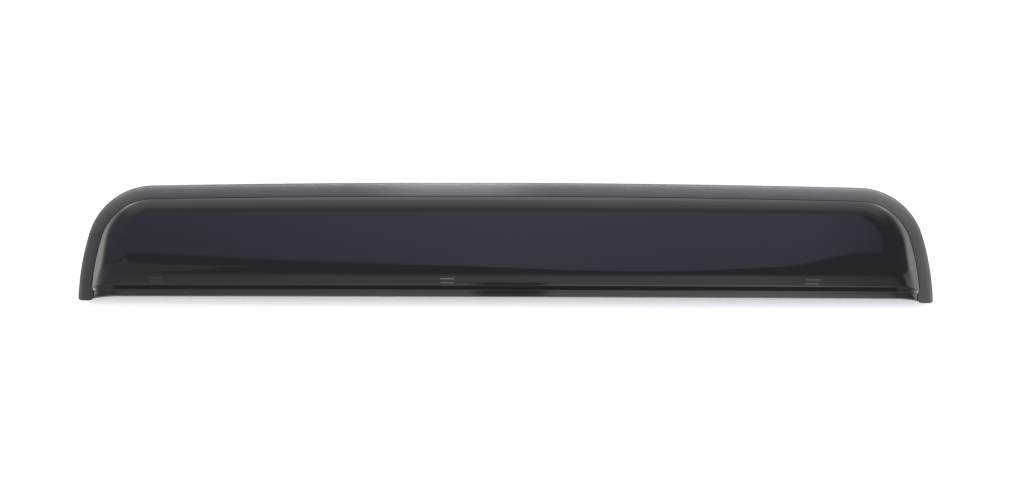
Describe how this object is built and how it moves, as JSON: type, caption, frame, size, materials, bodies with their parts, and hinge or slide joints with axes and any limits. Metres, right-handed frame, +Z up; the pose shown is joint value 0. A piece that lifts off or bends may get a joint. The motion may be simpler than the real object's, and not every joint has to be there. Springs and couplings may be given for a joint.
{
  "type": "sunroof wind deflector",
  "caption": "Low arched wind deflector for a car sunroof: a dark gloss acrylic visor with sloped walls and a stepped rear lip, edged by a rubber trim that rests on the roof.",
  "frame": {"origin": "middle of the whole part in plan, on the plane of the trim's sole where it lies on the roof", "axes": "+X across the car, +Y towards the windscreen, +Z up from the roof"},
  "size_m": [0.879, 0.1224, 0.0268],
  "materials": {
    "smoked_acrylic": "gloss dark smoked acrylic sheet",
    "trim_rubber": "matt grained extruded rubber"
  },
  "bodies": {
    "root": {"visor_shell": "smoked_acrylic", "edge_seal": "trim_rubber"}
  },
  "joints": []
}
